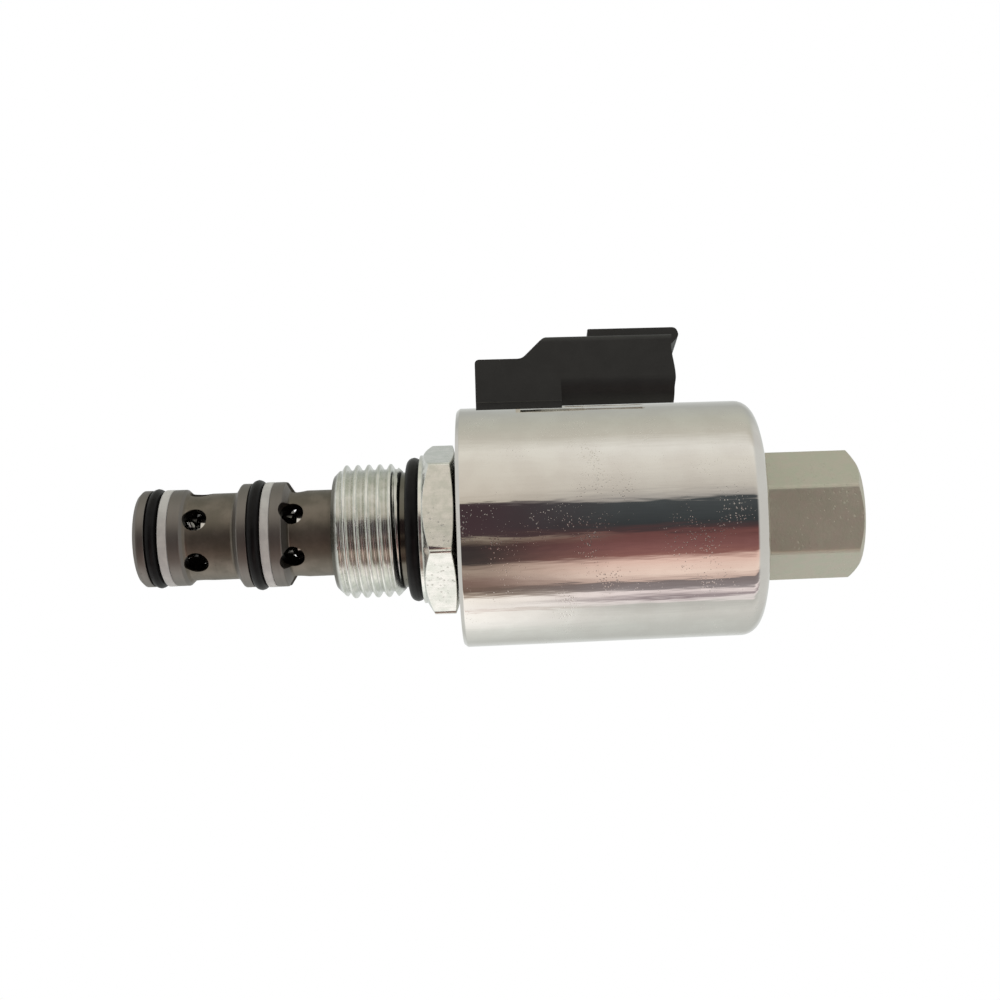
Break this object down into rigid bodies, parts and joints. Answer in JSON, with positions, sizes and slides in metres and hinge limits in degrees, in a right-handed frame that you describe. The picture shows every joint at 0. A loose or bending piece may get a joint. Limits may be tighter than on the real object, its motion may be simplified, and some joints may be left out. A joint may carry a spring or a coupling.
{
  "type": "cartridge valve",
  "caption": "Screw-in solenoid cartridge valve: ported nose with seals, threaded hex adapter, turnable coil with two-pin socket, and hex coil nut.",
  "frame": {"origin": "on the valve's axis, in the plane of the seating face under the hex", "axes": "+Z along the axis from the nose to the coil nut; the connector points along -X; +Y completes the frame"},
  "size_m": [0.0527, 0.0398, 0.1188],
  "materials": {
    "adapter_zinc": "zinc-plated, machined",
    "cage_steel": "hardened, satin",
    "nitrile_rubber": "matt",
    "ptfe": "waxy",
    "tube_steel": "turned",
    "soft_iron": "turned, plated",
    "brass_foil": "rolled",
    "spool_steel": "ground and lapped",
    "plunger_steel": "turned, nickel-plated",
    "spring_steel": "drawn wire",
    "shell_plate": "bright-plated, drawn",
    "end_plate_zinc": "zinc-plated, stamped",
    "bobbin_nylon": "moulded",
    "copper_winding": "enamelled copper wire",
    "coil_tape": "glass-cloth tape",
    "connector_nylon": "moulded, matt",
    "contact_tin": "tin-plated",
    "nut_zinc": "zinc-plated, cast skin"
  },
  "bodies": {
    "cartridge": {"adapter": "adapter_zinc", "cage": "cage_steel", "nose_o_ring": "nitrile_rubber", "nose_backup_ring": "ptfe", "mid_o_ring": "nitrile_rubber", "mid_backup_ring": "ptfe", "port_o_ring": "nitrile_rubber", "guide_tube": "tube_steel", "pole_piece": "soft_iron", "residual_shim": "brass_foil"},
    "core": {"spool": "spool_steel", "spool_link": "spool_steel", "plunger": "plunger_steel", "return_spring": "spring_steel"},
    "coil": {"coil_shell": "shell_plate", "end_plate": "end_plate_zinc", "bobbin": "bobbin_nylon", "winding": "copper_winding", "winding_tape": "coil_tape", "connector_housing": "connector_nylon", "terminal_a": "contact_tin", "terminal_b": "contact_tin", "base_o_ring": "nitrile_rubber"},
    "nut_seal": {"nut_o_ring": "nitrile_rubber"},
    "coil_nut": {"coil_nut": "nut_zinc"}
  },
  "joints": [
    {"name": "armature_slide", "type": "slide", "parent": "cartridge", "child": "core", "axis": [0, 0, 1], "range_m": [0, 0.0024], "stiffness_N_per_m": 2000, "springref_m": -0.005, "deforming": ["return_spring"]},
    {"name": "coil_turn", "type": "hinge", "parent": "cartridge", "child": "coil", "pos_m": [0, 0, 0.03], "axis": [0, 0, 1], "continuous": true},
    {"name": "nut_lift", "type": "slide", "parent": "cartridge", "child": "nut_seal", "axis": [0, 0, 1], "range_m": [0, 0.0115]},
    {"name": "nut_turn", "type": "hinge", "parent": "nut_seal", "child": "coil_nut", "pos_m": [0, 0, 0.06], "axis": [0, 0, 1], "range_deg": [0, 3240]}
  ],
  "couplings": [
    {"joint": "nut_lift", "follows": "nut_turn", "m_per_rad": 0.00020213}
  ]
}
